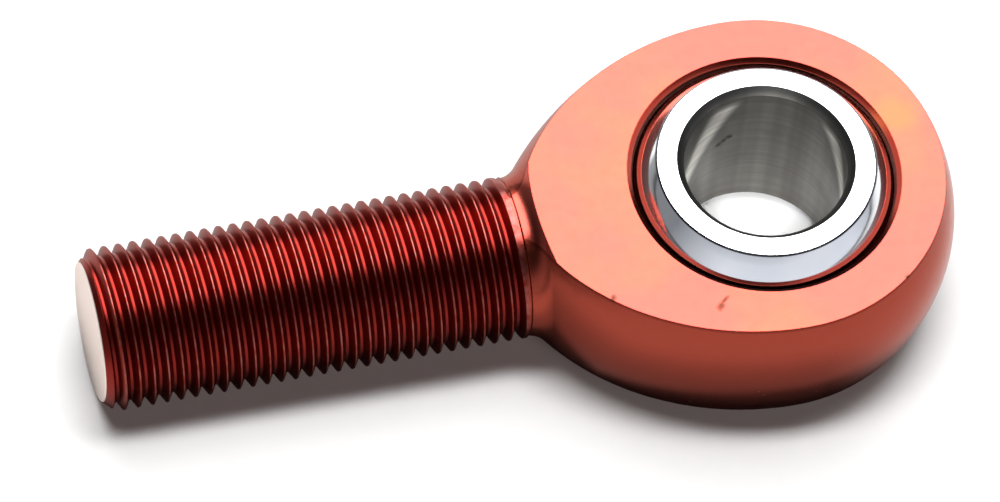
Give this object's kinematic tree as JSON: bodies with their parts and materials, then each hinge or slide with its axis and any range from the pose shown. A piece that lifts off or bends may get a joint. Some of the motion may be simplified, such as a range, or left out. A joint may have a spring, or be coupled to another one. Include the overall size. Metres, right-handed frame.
{
  "type": "rod end bearing",
  "caption": "Male rod end bearing with a red anodised turned body, a lined socket and a chromed swivelling ball with a through bore",
  "frame": {"origin": "the centre of the ball", "axes": "+Z is the axis of the ball's bore at rest, -X points down the threaded shank, +Y completes the right-handed frame"},
  "size_m": [0.0856, 0.0382, 0.019],
  "materials": {
    "red_anodised": "anodised red, satin",
    "chromed_steel": "hard chrome, mirror polished",
    "race_steel": "turned",
    "liner_fabric": "matte woven"
  },
  "bodies": {
    "housing": {"rod_end_body": "red_anodised", "race_insert": "race_steel"},
    "liner": {"ptfe_liner": "liner_fabric"},
    "ball": {"ball": "chromed_steel"}
  },
  "joints": [
    {"name": "ball_spin", "type": "hinge", "parent": "housing", "child": "liner", "pos_m": [0, 0, 0], "axis": [0, 0, 1], "continuous": true},
    {"name": "ball_tilt", "type": "hinge", "parent": "liner", "child": "ball", "pos_m": [0, 0, 0], "axis": [0, 1, 0], "range_deg": [-13, 13]}
  ]
}
